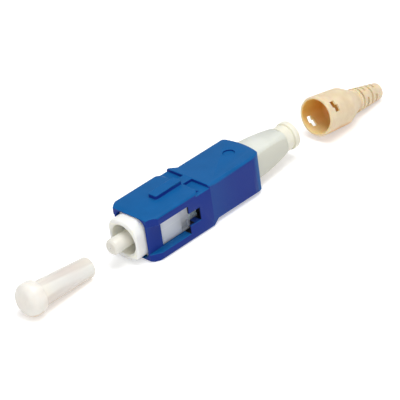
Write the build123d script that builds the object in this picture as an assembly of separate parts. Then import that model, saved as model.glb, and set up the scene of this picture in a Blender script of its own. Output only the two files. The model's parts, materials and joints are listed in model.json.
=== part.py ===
from build123d import *
import os
from math import asin, atan2, degrees, hypot, sqrt

# A push-pull fibre optic connector with a rectangular plug, its dust cap and its strain relief
# boot, lying in a row on one surface as they do before a cable is fitted.
# Millimetres. +X is the way the plug goes in, +Z is up, and the key is on top.
# The origin is on the flat underside of the housing, in the middle of its front flat.

# Fits
slide_gap = 0.10
end_gap = 0.02
snug_gap = 0.03
float_gap = 0.20
fibre_gap = 0.012

# Outer housing
front_width = 9.0
front_height = 7.4
front_corner = 0.45
rear_width = 8.2
rear_height = 6.6
rear_corner = 0.6
housing_length = 24.5
ridge_from_front = 12.35
ridge_land = 0.25
ridge_slope = 1.4
flat_length = 9.8
nose_bevel = 0.5
nose_bevel_height = 0.2
nose_ramp_length = 1.6
groove_depth = 0.55
groove_ramp = 0.8
groove_corner = 0.7
key_width = 1.8
key_height = 0.7
key_from_front = 4.9
key_corner = 0.4
key_edge = 0.15
tail_taper_length = 1.9
tail_taper = 0.35
tail_round = 0.9
tail_bow = 0.6
tail_lift = 0.35
dimple_radius = 1.0
dimple_depth = 0.2
dimple_from_rear = 3.2

# Latch channel and window, the same on both sides
channel_height = 4.7
bridge_wall = 0.3
window_from_front = 2.95
window_length = 4.75
neck_length = 2.3
neck_height = 2.1
relief_length = 1.2
relief_wall = 0.35

# Stop ribs inside the housing, which set how far the housing slides
rib_from_front = 6.4
rib_length = 0.6
rib_width = 3.0
rib_height = 0.25
housing_travel = 1.2

# Plug frame
frame_width = 5.9
frame_height = 6.6
frame_corner = 1.3
nose_corner = 2.1
nose_length = 2.6
frame_rear_height = 5.3
frame_rear_corner = 0.9
frame_reach = 1.9
frame_length = 21.1
shoulder_from_front = 10.2
frame_edge = 0.45
plug_bore = 4.95
plug_bore_depth = 5.25
plug_bore_bevel = 0.25
web_thickness = 1.2
spring_cavity = 4.6
pad_height = 4.4
pad_ramp = 1.0
pad_step = 0.25
pad_end_gap = 0.4
latch_slot_depth = 0.7
neck_slot_depth = 0.5
waist_step = 0.1
seat_tube_length = 5.8
snap_window_length = 1.6
snap_window_width = 2.2
snap_from_rear = 2.0

# Ferrule, fibre and holder
ferrule_diameter = 2.5
ferrule_length = 11.9
ferrule_reach = 2.55
ferrule_bevel_length = 0.4
ferrule_bevel = 0.28
ferrule_travel = 1.0
fibre_diameter = 0.125
flange_diameter = 4.3
flange_thickness = 1.6
flange_notch_width = 1.0
flange_notch_depth = 0.45
holder_diameter = 3.2
holder_length = 12.0
holder_wall = 0.45

# Splice inside the holder
splice_from_ferrule = 0.4
splice_length = 9.0
clamp_wall = 0.12
clamp_slit = 0.5
splice_slot = 0.02

# Coil spring
spring_wire = 0.4
spring_turns = 5
spring_sides = 6

# Rear body
body_inset = 0.2
body_height = 5.2
body_radius = 3.28
body_end_radius = 2.27
body_end_width = 4.1
body_end_height = 4.0
body_bulge = 0.2
body_reach = 7.5
body_straight = 0.4
body_bore = 3.6
tube_bore = 2.2
collar_socket = 3.1
collar_socket_depth = 2.4
lug_width = 2.0
lug_height = 0.28

# Lead-in tube
lead_tube_diameter = 1.7
lead_tube_bore = 1.1
lead_tube_length = 7.6
funnel_length = 0.9

# Collar
collar_length = 2.65
collar_ring_diameter = 4.24
collar_groove_diameter = 3.85
collar_rim_diameter = 4.62
collar_ring_length = 1.25
collar_groove_length = 0.4
collar_rim_bevel = 0.25
collar_bore = 1.3
collar_mouth = 2.0
collar_spigot_length = 2.2

# Dust cap
cap_length = 13.1
cap_bulb_diameter = 5.25
cap_bulb_length = 2.7
cap_bulb_round = 1.3
cap_sleeve_diameter = 4.1
cap_mouth_diameter = 3.25
cap_bore = 2.56
cap_bore_depth = 9.0
cap_mouth_bevel = 0.2
cap_shoulder_round = 0.55
cap_heading = 2.3
cap_bulb_x = 24.88
cap_bulb_y = -1.3

# Boot
boot_length = 15.3
boot_mouth_diameter = 6.55
boot_barrel_diameter = 6.2
boot_barrel_length = 5.9
boot_neck_diameter = 3.65
boot_neck_from_mouth = 8.9
boot_tail_diameter = 4.05
boot_end_diameter = 2.75
boot_bore = 5.6
boot_bore_depth = 5.0
boot_cone_depth = 2.4
boot_cable_bore = 1.1
boot_rim_bevel = 0.2
boot_shoulder_round = 0.7
boot_slot_pitch = 1.2
boot_slot_width = 0.42
boot_slot_count = 4
boot_first_slot = 9.9
boot_web = 1.15
snap_slot_from_mouth = 0.95
snap_slot_length = 1.05
snap_slot_width = 1.1
snap_slot_step = 0.35
snap_slot_angle = 51.0
boot_heading = 182.7
boot_mouth_x = -34.9
boot_mouth_y = 0.45

# Places worked out from the sizes above
axis_z = front_height / 2
housing_front = (nose_bevel + (nose_bevel + flat_length)) / 2
housing_rear = housing_front - housing_length
flat_end = housing_front - nose_bevel - flat_length
ridge_wall = housing_front - ridge_from_front
shoulder_x = housing_front - shoulder_from_front
cavity_width = frame_width + 2 * slide_gap
cavity_height = frame_height + 2 * slide_gap
cavity_corner = frame_corner + slide_gap
rear_cavity_height = frame_rear_height + 2 * slide_gap
rear_cavity_corner = frame_rear_corner + slide_gap
bridge_y = cavity_width / 2 + bridge_wall
window_front = housing_front - window_from_front
window_rear = window_front - window_length
neck_rear = window_rear - neck_length
rib_front = housing_front - rib_from_front
frame_front = housing_front + frame_reach
frame_rear = frame_front - frame_length
web_front = frame_front - plug_bore_depth
web_back = web_front - web_thickness
ferrule_tip = frame_front + ferrule_reach
ferrule_end = ferrule_tip - ferrule_length
flange_front = web_back - end_gap
flange_back = flange_front - flange_thickness
spring_front = flange_back - end_gap
spring_seat = frame_rear + seat_tube_length
spring_length = spring_front - spring_seat
snap_rear = frame_rear + snap_from_rear
snap_front = snap_rear + snap_window_length
holder_end = flange_back - holder_length
splice_front = ferrule_end - splice_from_ferrule
splice_end = splice_front - splice_length
holder_bore = holder_diameter - 2 * holder_wall
split_top = fibre_diameter / 2 + fibre_gap
split_bottom = split_top - splice_slot
groove_apex = -split_top * sqrt(2)
body_end = housing_rear - body_reach
taper_start = housing_rear - body_straight
body_width = frame_width - 2 * body_inset
collar_end = body_end - collar_length
outside = 20.0

axis_plane = Plane(origin=(0, 0, axis_z), x_dir=(1, 0, 0), z_dir=(0, -1, 0))
plug_axis = Axis((0, 0, axis_z), (1, 0, 0))


def across(x):
    """The plane across the plug's axis at x, with Y and Z as its own directions."""
    return Plane(origin=(x, 0, axis_z), x_dir=(0, 1, 0), z_dir=(1, 0, 0))


def rounded_bar(front, rear, width, height, corner):
    """A bar along X with rounded long edges."""
    return extrude(across(rear) * RectangleRounded(width, height, corner), amount=front - rear)


def block(x_range, y_range, z_range):
    """A block given by its limits, with z measured from the plug's axis."""
    size = [abs(b - a) for a, b in (x_range, y_range, z_range)]
    centre = [(a + b) / 2 for a, b in (x_range, y_range, z_range)]
    return Pos(centre[0], centre[1], centre[2] + axis_z) * Box(*size)


def rod(front, rear, diameter):
    """A round bar on the plug's axis."""
    return extrude(across(rear) * Circle(diameter / 2), amount=front - rear)


def turned(outline):
    """A solid turned about the plug's axis from (x, radius) points."""
    face = make_face(Polyline(*outline, close=True))
    return revolve(axis_plane * face, axis=plug_axis)


def on_both_sides(cutter):
    """The cutter and its mirror image on the other side of the plug."""
    return [cutter, mirror(cutter, about=Plane.XZ)]


def above_and_below(cutter):
    """The cutter and its mirror image below the plug's axis."""
    return [cutter, mirror(cutter, about=Plane.XY.offset(axis_z))]


def outer_housing():
    """The push-pull grip: rails, latch windows, key, groove, ridge and tapered tail."""
    front = rounded_bar(housing_front, ridge_wall - ridge_land, front_width, front_height, front_corner)
    slope_end = ridge_wall - ridge_land - ridge_slope
    slope = loft(
        [
            across(ridge_wall - ridge_land) * RectangleRounded(front_width, front_height, front_corner),
            across(slope_end) * RectangleRounded(rear_width, rear_height, rear_corner),
        ]
    )
    rear = rounded_bar(slope_end, housing_rear, rear_width, rear_height, rear_corner)
    body = front + slope + rear

    # the groove across the top, in front of the ridge: a ramp down, a floor, and a cut at each
    # outer corner; the key's foot bridges it in the middle
    half_width = front_width / 2
    half_height = front_height / 2
    floor = half_height - groove_depth
    groove = Polyline(
        (flat_end, half_height),
        (flat_end - groove_ramp, floor),
        (ridge_wall, floor),
        (ridge_wall, half_height + 1),
        (flat_end, half_height + 1),
        close=True,
    )
    groove = extrude(axis_plane * make_face(groove), amount=front_width, both=True)
    groove -= block(
        (ridge_wall - 1, flat_end + 1), (-key_width / 2, key_width / 2), (floor - 1, half_height)
    )
    corner = Polyline(
        (flat_end + groove_corner, half_width),
        (flat_end, half_width - groove_corner),
        (flat_end - groove_ramp, half_width - groove_corner),
        (flat_end - groove_ramp, half_width + 1),
        (flat_end + groove_corner, half_width + 1),
        close=True,
    )
    corner = extrude(Plane.XY.offset(axis_z + floor) * make_face(corner), amount=groove_depth + 1)
    body -= [groove, *on_both_sides(corner)]

    # the nose: long ramps on the latch sides, a small bevel above and below
    ramp = Polyline(
        (housing_front + 1, bridge_y - 1),
        (housing_front + 1, outside),
        (housing_front - nose_ramp_length, outside),
        (housing_front - nose_ramp_length, half_width),
        (housing_front, bridge_y + bridge_wall / 2),
        (housing_front, bridge_y - 1),
        close=True,
    )
    body -= on_both_sides(extrude(make_face(ramp), amount=front_height))
    bevel = Polyline(
        (housing_front + 1, half_height - nose_bevel_height),
        (housing_front, half_height - nose_bevel_height),
        (housing_front - nose_bevel, half_height),
        (housing_front - nose_bevel, half_height + 1),
        (housing_front + 1, half_height + 1),
        close=True,
    )
    body -= above_and_below(extrude(axis_plane * make_face(bevel), amount=half_width, both=True))

    # the latch channels and windows
    half_channel = channel_height / 2
    body -= on_both_sides(
        block((window_front - 1, housing_front + 1), (bridge_y, outside), (-half_channel, half_channel))
    )

    # the tail narrows on the two latch sides, and its end bows out in the middle
    half_rear = rear_width / 2
    half_end = half_rear - tail_taper
    side_end = housing_rear + tail_bow
    taper = make_face(
        [
            Line((side_end + tail_taper_length, half_rear), (side_end, half_end)),
            TangentArc((housing_rear, 0), (side_end, half_end), tangent=(0, 1)),
            Polyline(
                (housing_rear, 0),
                (housing_rear - 1, 0),
                (housing_rear - 1, half_rear + 1),
                (side_end + tail_taper_length, half_rear + 1),
                (side_end + tail_taper_length, half_rear),
            ),
        ]
    )
    corner = taper.vertices().sort_by_distance((side_end, half_end, 0))[0]
    taper = fillet(corner, tail_round)
    body -= on_both_sides(extrude(taper, amount=front_height))

    # and its underside rises a little towards the end
    rear_bottom = axis_z - rear_height / 2
    lift = Polyline(
        (side_end + tail_taper_length, rear_bottom),
        (housing_rear, rear_bottom + tail_lift),
        (housing_rear - 1, rear_bottom + tail_lift),
        (housing_rear - 1, rear_bottom - 1),
        (side_end + tail_taper_length, rear_bottom - 1),
        close=True,
    )
    body -= extrude(Plane.XZ * make_face(lift), amount=half_width, both=True)

    # the key on top, with rounded front corners, and the moulding dimple behind it
    key_front = housing_front - key_from_front
    key_plan = Rectangle(key_front - flat_end, key_width)
    key = extrude(
        Pos((key_front + flat_end) / 2, 0, front_height - groove_depth) * key_plan,
        amount=groove_depth + key_height,
    )
    key = fillet(key.edges().filter_by(Axis.Z).group_by(Axis.X)[-1], key_corner)
    key = fillet(key.faces().sort_by(Axis.Z)[-1].edges(), key_edge)
    body += key
    rear_top = axis_z + rear_height / 2
    dimple_x = housing_rear + dimple_from_rear
    body -= Pos(dimple_x, 0, rear_top) * Cylinder(dimple_radius, 2 * dimple_depth)

    # the cavity for the plug frame, with two stop ribs
    body -= rounded_bar(housing_front + 1, shoulder_x, cavity_width, cavity_height, cavity_corner)
    body -= rounded_bar(
        shoulder_x + 1, housing_rear - 1, cavity_width, rear_cavity_height, rear_cavity_corner
    )
    rib_top = cavity_height / 2
    body += above_and_below(
        block(
            (rib_front - rib_length, rib_front),
            (-rib_width / 2, rib_width / 2),
            (rib_top - rib_height, rib_top + end_gap),
        )
    )
    body -= on_both_sides(
        block((window_rear, window_front), (frame_width / 4, outside), (-half_channel, half_channel))
    )
    body -= on_both_sides(
        block(
            (neck_rear, window_rear + 1), (frame_width / 4, outside), (-neck_height / 2, neck_height / 2)
        )
    )

    # the wall is relieved inside, behind the window and behind the neck
    relief_y = (frame_width / 4, half_width - relief_wall)
    body -= on_both_sides(
        block((window_rear - relief_length, window_rear + 1), relief_y, (-half_channel, half_channel))
    )
    body -= on_both_sides(
        block((neck_rear - relief_length, neck_rear + 1), relief_y, (-neck_height / 2, neck_height / 2))
    )
    return body


def plug_frame():
    """The inner frame: front bore, web behind it, spring cavity, latch pads and snap windows."""
    shoulder = shoulder_x + end_gap
    nose_end = frame_front - nose_length
    nose = rounded_bar(frame_front, nose_end - 1, frame_width, frame_height, nose_corner)
    nose = fillet(nose.faces().sort_by(Axis.X)[-1].edges(), frame_edge)
    front = rounded_bar(nose_end, shoulder, frame_width, frame_height, frame_corner)
    rear = rounded_bar(shoulder + 1, frame_rear, frame_width, frame_rear_height, frame_rear_corner)
    body = nose + front + rear

    half_bore = plug_bore / 2
    body -= turned(
        [
            (frame_front + 1, 0),
            (frame_front + 1, half_bore + plug_bore_bevel),
            (frame_front, half_bore + plug_bore_bevel),
            (frame_front - plug_bore_bevel, half_bore),
            (web_front, half_bore),
            (web_front, 0),
        ]
    )
    body -= rod(web_front + 1, web_back - 1, ferrule_diameter + 2 * float_gap)
    body -= rod(web_back, frame_rear - 1, spring_cavity)

    # the latch pads: a ramp in front, a step down behind, and a waist behind that
    half_width = frame_width / 2
    pad_rear = window_rear + pad_end_gap
    seat_end = neck_rear + pad_end_gap
    ahead = Polyline(
        (window_front + pad_ramp, half_width + 1),
        (window_front + pad_ramp, half_width - pad_step),
        (window_front, half_width - pad_step),
        (window_front - pad_ramp, half_width),
        (window_front - pad_ramp, half_width + 1),
        close=True,
    )
    behind = Polyline(
        (pad_rear, half_width + 1),
        (pad_rear, half_width - pad_step),
        (seat_end, half_width - pad_step),
        (seat_end, half_width - pad_step - waist_step),
        (snap_front, half_width - pad_step - waist_step),
        (snap_front, half_width + 1),
        close=True,
    )
    pad_base = Plane.XY.offset(axis_z - pad_height / 2)
    body -= on_both_sides(extrude(pad_base * make_face(ahead), amount=pad_height))
    body -= on_both_sides(extrude(pad_base * make_face(behind), amount=pad_height))

    # behind each pad, two deep slots for the adapter's latch, and another behind the neck
    half_pad = pad_height / 2
    half_neck = neck_height / 2
    for end, depth, low, high in (
        (window_rear, latch_slot_depth, half_neck, half_pad),
        (window_rear, latch_slot_depth, -half_pad, -half_neck),
        (neck_rear, neck_slot_depth, -half_neck, half_neck),
    ):
        slot = block((end - relief_length, end + pad_end_gap), (half_width - depth, outside), (low, high))
        body -= on_both_sides(slot)

    # the grooves that the housing's stop ribs run in
    groove_front = rib_front + slide_gap
    groove_rear = rib_front - rib_length - housing_travel - slide_gap
    groove_top = frame_height / 2
    body -= above_and_below(
        block(
            (groove_rear, groove_front),
            (-rib_width / 2 - slide_gap, rib_width / 2 + slide_gap),
            (groove_top - rib_height, groove_top + 1),
        )
    )

    # the windows that the rear body's lugs snap into
    body -= block(
        (snap_rear, snap_front),
        (-snap_window_width / 2, snap_window_width / 2),
        (-frame_height, frame_height),
    )
    return body


def ferrule():
    """The ceramic ferrule with its bevelled tip and its fibre bore."""
    radius = ferrule_diameter / 2
    body = turned(
        [
            (ferrule_tip, 0),
            (ferrule_tip, radius - ferrule_bevel),
            (ferrule_tip - ferrule_bevel_length, radius),
            (ferrule_end + ferrule_bevel_length / 2, radius),
            (ferrule_end, radius - ferrule_bevel / 2),
            (ferrule_end, 0),
        ]
    )
    return body - rod(ferrule_tip + 1, ferrule_end - 1, fibre_diameter + 2 * fibre_gap)


def fibre_stub():
    """The short fibre that is fixed in the ferrule at the works and ends in mid splice."""
    return rod(ferrule_tip, splice_front - splice_length / 2, fibre_diameter)


def ferrule_holder():
    """The flange behind the ferrule, and the tube that carries the splice."""
    flange = rod(flange_front, flange_back, flange_diameter)
    notch_y = flange_diameter / 2 - flange_notch_depth
    flange -= on_both_sides(
        block(
            (flange_back - 1, flange_front + 1),
            (notch_y, outside),
            (-flange_notch_width / 2, flange_notch_width / 2),
        )
    )
    body = flange + rod(flange_back + 1, holder_end, holder_diameter)
    body -= rod(flange_front + 1, ferrule_end, ferrule_diameter + 2 * end_gap)
    body -= rod(ferrule_end + end_gap, holder_end - 1, holder_bore)
    return body


def splice_half(upper):
    """One half of the splice: a half-round bar whose flat meets the other half's flat."""
    radius = holder_bore / 2 - clamp_wall - 2 * snug_gap
    body = rod(splice_front, splice_end, 2 * radius)
    ends = (splice_end - 1, splice_front + 1)
    sides = (-radius - 1, radius + 1)
    if upper:
        return body - block(ends, sides, (-radius - 1, split_top))
    body -= block(ends, sides, (split_bottom, radius + 1))
    half_groove = split_bottom - groove_apex
    groove = make_face(
        Polyline(
            (-half_groove, split_bottom),
            (half_groove, split_bottom),
            (0, groove_apex),
            close=True,
        )
    )
    return body - extrude(across(splice_end - 1) * groove, amount=splice_length + 2)


def splice_clamp():
    """The slit spring sleeve that presses the splice halves together."""
    outer = holder_bore - 2 * snug_gap
    body = rod(splice_front, splice_end, outer) - rod(splice_front + 1, splice_end - 1, outer - 2 * clamp_wall)
    slit = block(
        (splice_end - 1, splice_front + 1), (0, outer), (-clamp_slit / 2, clamp_slit / 2)
    )
    return body - slit


def lead_in_tube():
    """The tube that guides the bare fibre forward into the splice, with a funnel at its front."""
    front = splice_end - end_gap
    rim = holder_bore / 2 - snug_gap
    tube = lead_tube_diameter / 2
    inner = lead_tube_bore / 2
    return turned(
        [
            (front, fibre_diameter),
            (front, rim),
            (front - funnel_length, rim),
            (front - funnel_length, tube),
            (front - funnel_length - lead_tube_length, tube),
            (front - funnel_length - lead_tube_length, inner),
            (front - funnel_length, inner),
        ]
    )


def spring():
    """The coil spring between the ferrule's flange and the rear body."""
    mean = (holder_diameter + spring_cavity) / 4
    rise = spring_length - spring_wire
    path = Helix(
        pitch=rise / spring_turns,
        height=rise,
        radius=mean,
        center=(spring_seat + spring_wire / 2, 0, axis_z),
        direction=(1, 0, 0),
    )
    section = Plane(origin=path @ 0, z_dir=path % 0) * RegularPolygon(spring_wire / 2, spring_sides)
    return sweep(section, path=path, is_frenet=True)


def rear_body():
    """The white rear body: snap tube, flats that taper to the rear, and rounded corners."""
    tube = rod(spring_seat, frame_rear - 1, spring_cavity - 2 * snug_gap)
    lug_front = snap_front - snug_gap
    lug_rear = snap_rear + snug_gap
    lug_top = spring_cavity / 2 + lug_height
    lug = Polyline((lug_front, 0), (lug_front, lug_top), (lug_rear, spring_cavity / 2), (lug_rear, 0), close=True)
    lug = extrude(axis_plane * make_face(lug), amount=lug_width / 2, both=True)
    tube += above_and_below(lug)

    # the outside is a bar with tapering flats, cut by a turned ogive
    middle = (taper_start + body_end) / 2
    bulge = (body_radius + body_end_radius) / 2 + body_bulge
    ogive = make_face(
        [
            Line((frame_rear - end_gap, 0), (frame_rear - end_gap, body_radius)),
            Line((frame_rear - end_gap, body_radius), (taper_start, body_radius)),
            ThreePointArc((taper_start, body_radius), (middle, bulge), (body_end, body_end_radius)),
            Line((body_end, body_end_radius), (body_end, 0)),
            Line((body_end, 0), (frame_rear - end_gap, 0)),
        ]
    )
    ogive = revolve(axis_plane * ogive, axis=plug_axis)
    straight = extrude(
        across(taper_start) * Rectangle(body_width, body_height), amount=frame_rear - taper_start
    )
    flats = loft(
        [
            across(taper_start) * Rectangle(body_width, body_height),
            across(body_end) * Rectangle(body_end_width, body_end_height),
        ]
    )
    body = ((straight + flats) & ogive) + tube
    body -= rod(spring_seat + 1, holder_end - ferrule_travel - 2 * float_gap, body_bore)
    body -= rod(spring_seat + 1, body_end - 1, tube_bore)
    body -= rod(body_end + collar_socket_depth, body_end - 1, collar_socket)
    return body


def collar():
    """The cream collar behind the rear body: ring, groove and rim, on a spigot."""
    ring_end = body_end - collar_ring_length
    groove_end = ring_end - collar_groove_length
    spigot_front = body_end + collar_spigot_length
    spigot = collar_socket / 2 - snug_gap
    rim = collar_rim_diameter / 2
    return turned(
        [
            (spigot_front, collar_bore / 2),
            (spigot_front, spigot),
            (body_end - end_gap, spigot),
            (body_end - end_gap, collar_ring_diameter / 2),
            (ring_end, collar_ring_diameter / 2),
            (ring_end, collar_groove_diameter / 2),
            (groove_end, collar_groove_diameter / 2),
            (groove_end, rim),
            (collar_end + collar_rim_bevel, rim),
            (collar_end, rim - collar_rim_bevel),
            (collar_end, collar_mouth / 2),
            (collar_end + collar_mouth / 2, collar_bore / 2),
        ]
    )


def lie_down(solid, tilt, heading, place):
    """Tilts a piece about its mouth, turns it, and lowers it until it touches the surface."""
    laid = Pos(place[0], place[1], 0) * Rot(0, 0, heading) * Rot(0, tilt, 0) * solid
    return Pos(0, 0, -laid.bounding_box().min.Z) * laid


def resting_tilt(low, high):
    """The tilt of a line that touches two rounded edges, each an (x, radius, rounding)."""
    reach = hypot(high[0] - low[0], high[1] - low[1])
    slope = atan2(high[1] - low[1], high[0] - low[0])
    return degrees(slope + asin((high[2] - low[2]) / reach))


def dust_cap():
    """The cap: a tapered sleeve, open towards the connector, with a round grip at its far end."""
    bulb = cap_bulb_diameter / 2
    neck_x = cap_length - cap_bulb_length
    outline = Polyline(
        (0, 0),
        (0, cap_mouth_diameter / 2 - cap_mouth_bevel),
        (cap_mouth_bevel, cap_mouth_diameter / 2),
        (neck_x, cap_sleeve_diameter / 2),
        (neck_x, bulb),
        (cap_length, bulb),
        (cap_length, 0),
        close=True,
    )
    outline = make_face(outline)
    far = outline.vertices().sort_by(Axis.X)[-2:].sort_by(Axis.Y)[-1]
    outline = fillet(far, cap_bulb_round)
    near = outline.vertices().filter_by(lambda v: abs(v.X - neck_x) < 1e-4).sort_by(Axis.Y)[-1]
    outline = fillet(near, cap_shoulder_round)
    body = revolve(Plane.XZ * outline, axis=Axis.X)
    body -= Pos(cap_bore_depth / 2, 0, 0) * Rot(0, 90, 0) * Cylinder(cap_bore / 2, cap_bore_depth)
    tilt = resting_tilt(
        (cap_mouth_bevel, cap_mouth_diameter / 2, 0),
        (neck_x + cap_shoulder_round, bulb - cap_shoulder_round, cap_shoulder_round),
    )
    turn = Rot(0, 0, cap_heading)
    to_bulb = (turn * Pos(cap_length - cap_bulb_length / 2, 0, 0)).position
    place = (cap_bulb_x - to_bulb.X, cap_bulb_y - to_bulb.Y)
    return lie_down(body, -tilt, cap_heading, place)


def boot():
    """The strain relief boot: barrel with snap slots, shoulder, and a tail slit to bend."""
    barrel = boot_barrel_diameter / 2
    outline = Polyline(
        (0, 0),
        (0, boot_mouth_diameter / 2),
        (boot_barrel_length, barrel),
        (boot_neck_from_mouth, boot_neck_diameter / 2),
        (boot_neck_from_mouth + boot_slot_width, boot_neck_diameter / 2),
        (boot_neck_from_mouth + boot_slot_width, boot_tail_diameter / 2),
        (boot_length, boot_end_diameter / 2),
        (boot_length, 0),
        close=True,
    )
    body = revolve(Plane.XZ * make_face(outline), axis=Axis.X)
    rings = body.edges().filter_by(GeomType.CIRCLE)
    shoulder = rings.filter_by(lambda edge: abs(edge.radius - barrel) < 1e-4)
    body = fillet(shoulder, boot_shoulder_round)
    rings = body.edges().filter_by(GeomType.CIRCLE)
    ends = rings.group_by(Axis.X)[0] + rings.group_by(Axis.X)[-1]
    body = chamfer(ends, boot_rim_bevel)

    hollow = Polyline(
        (-1, 0),
        (-1, boot_bore / 2),
        (boot_bore_depth, boot_bore / 2),
        (boot_bore_depth + boot_cone_depth, boot_cable_bore / 2),
        (boot_length + 1, boot_cable_bore / 2),
        (boot_length + 1, 0),
        close=True,
    )
    body -= revolve(Plane.XZ * make_face(hollow), axis=Axis.X)

    # two stepped snap slots through the barrel, opposite each other
    slot = Box(
        snap_slot_length,
        snap_slot_width,
        2 * boot_mouth_diameter,
        align=(Align.MIN, Align.MIN, Align.CENTER),
    )
    near = Pos(snap_slot_from_mouth, -snap_slot_step / 2, 0) * slot
    far = Pos(snap_slot_from_mouth + snap_slot_step, snap_slot_step / 2 - snap_slot_width, 0) * slot
    body -= Rot(snap_slot_angle, 0, 0) * (near + far)

    # the tail is slit from two opposite sides, each pair a quarter turn from the last
    for index in range(boot_slot_count):
        slot_x = boot_first_slot + index * boot_slot_pitch
        depth = boot_tail_diameter
        half = Pos(slot_x, 0, boot_web / 2 + depth / 2) * Box(boot_slot_width, 2 * depth, depth)
        quarter = snap_slot_angle + 90 * (index % 2)
        body -= Rot(quarter, 0, 0) * half
        body -= Rot(quarter + 180, 0, 0) * half

    tilt = resting_tilt(
        (boot_length - boot_rim_bevel, boot_end_diameter / 2, 0),
        (boot_barrel_length, barrel, 0),
    )
    return lie_down(body, 180 - tilt, boot_heading, (boot_mouth_x, boot_mouth_y))


os.makedirs("parts", exist_ok=True)
pieces = {
    "outer_housing": outer_housing(),
    "plug_frame": plug_frame(),
    "ferrule": ferrule(),
    "fibre_stub": fibre_stub(),
    "ferrule_holder": ferrule_holder(),
    "splice_plate": splice_half(upper=True),
    "splice_groove": splice_half(upper=False),
    "splice_clamp": splice_clamp(),
    "lead_in_tube": lead_in_tube(),
    "spring": spring(),
    "rear_body": rear_body(),
    "collar": collar(),
    "dust_cap": dust_cap(),
    "boot": boot(),
}
for name, solid in pieces.items():
    export_step(solid, f"parts/{name}.step")
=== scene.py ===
# %% [markdown]
# This lesson dresses a push-pull fibre optic connector: a blue grip round a white plug frame, with
# a sprung ceramic ferrule in front, a white rear body behind, a milky dust cap and a beige boot.
# The CAD model is loaded first and stays as it is. It gives every piece its place, so a new mesh
# only has to be drawn where the frame says. Blender's lengths are metres. This object is small, so
# its sizes are written in millimetres and multiplied by MM where they go into Blender.

# %% Load the frame
import json
import math

import bmesh
import bpy
from mathutils import Matrix, Vector

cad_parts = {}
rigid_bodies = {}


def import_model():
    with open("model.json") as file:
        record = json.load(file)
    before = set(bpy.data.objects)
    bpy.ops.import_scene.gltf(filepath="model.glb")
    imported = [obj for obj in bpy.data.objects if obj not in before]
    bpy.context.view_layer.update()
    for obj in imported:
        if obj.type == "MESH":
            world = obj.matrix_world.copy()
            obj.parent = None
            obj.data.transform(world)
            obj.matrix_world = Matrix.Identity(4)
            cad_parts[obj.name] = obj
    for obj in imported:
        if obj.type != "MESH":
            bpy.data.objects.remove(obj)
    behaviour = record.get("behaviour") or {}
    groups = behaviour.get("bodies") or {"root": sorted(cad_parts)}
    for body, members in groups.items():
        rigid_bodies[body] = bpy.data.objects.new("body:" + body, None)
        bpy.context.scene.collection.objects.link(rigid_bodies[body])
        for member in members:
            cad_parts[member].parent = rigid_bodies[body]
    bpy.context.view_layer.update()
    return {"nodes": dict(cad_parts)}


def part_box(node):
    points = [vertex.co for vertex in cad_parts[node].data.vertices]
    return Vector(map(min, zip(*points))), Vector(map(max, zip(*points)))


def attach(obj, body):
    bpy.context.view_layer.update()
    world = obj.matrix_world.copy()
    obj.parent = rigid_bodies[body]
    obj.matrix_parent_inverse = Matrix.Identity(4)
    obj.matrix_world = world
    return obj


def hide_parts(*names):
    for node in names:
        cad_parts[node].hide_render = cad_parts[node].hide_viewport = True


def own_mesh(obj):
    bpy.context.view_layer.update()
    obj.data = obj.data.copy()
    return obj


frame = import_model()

MM = 0.001
print("nodes:", ", ".join(sorted(frame["nodes"])))

# %% [markdown]
# The axis of the plug is the line that everything is drawn about. It runs through the middle of
# the ferrule, half way up the housing's front section, which stands on the table. The places of
# most details are measured back from the grip's front, as a maker's drawing would give them.

# %% Plug axis
housing_low, housing_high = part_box("outer_housing")
ferrule_low, ferrule_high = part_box("ferrule")
AXIS_Z = (ferrule_low.z + ferrule_high.z) / 2
AXIS_HEIGHT = AXIS_Z / MM
GRIP_FRONT = housing_high.x / MM
GRIP_REAR = housing_low.x / MM
print("plug axis", round(AXIS_HEIGHT, 2), "mm above the table")

# %% [markdown]
# The photograph looks down on the row from the plug's front left, through a long lens, with the
# camera tipped a few degrees. A camera could be aimed by a Track To constraint, but that allows no
# tipping. So its three axes are worked out from the angles and put straight into its matrix.

# %% Camera
CAMERA_AZIMUTH = math.radians(138.69)
CAMERA_ELEVATION = math.radians(31.15)
CAMERA_ROLL = math.radians(-8.22)
CAMERA_DISTANCE = 355.9 * MM
CAMERA_FOCAL_MM = 213.3
SENSOR_WIDTH_MM = 36
CLIP_START = 10 * MM
AIM = Vector((-7.28 * MM, 1.76 * MM, AXIS_Z))

back = Vector((
    math.sin(CAMERA_AZIMUTH) * math.cos(CAMERA_ELEVATION),
    -math.cos(CAMERA_AZIMUTH) * math.cos(CAMERA_ELEVATION),
    math.sin(CAMERA_ELEVATION),
))
level_right = Vector((0, 0, 1)).cross(back).normalized()
level_up = back.cross(level_right)
right = math.cos(CAMERA_ROLL) * level_right + math.sin(CAMERA_ROLL) * level_up
up = back.cross(right)
camera_data = bpy.data.cameras.new("camera")
camera_data.lens = CAMERA_FOCAL_MM
camera_data.sensor_width = SENSOR_WIDTH_MM
camera_data.sensor_fit = "HORIZONTAL"
camera_data.clip_start = CLIP_START
camera = bpy.data.objects.new("camera", camera_data)
turn = Matrix((right, up, back)).transposed().to_4x4()
camera.matrix_world = Matrix.Translation(AIM + back * CAMERA_DISTANCE) @ turn
bpy.context.scene.collection.objects.link(camera)
bpy.context.scene.camera = camera
print("camera stands", round(CAMERA_DISTANCE / MM), "mm from its aim")

# %% [markdown]
# A product picture like this one is lit by a big soft box above and paler fills round it. One
# large area lamp gives the top faces their light and a soft shadow. A second one opens up the long
# side that faces the camera, and a third one the ends that face forwards. Each lamp is given by
# its place from the middle of the grip, the side of its square and its power.

# %% Lamps
LAMPS = {
    "soft_box": ((-0.02, 0.03, 0.22), 0.16, 0.36),
    "side_fill": ((0.12, 0.22, 0.08), 0.16, 0.10),
    "front_fill": ((0.26, 0.02, 0.10), 0.12, 0.10),
}


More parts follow.
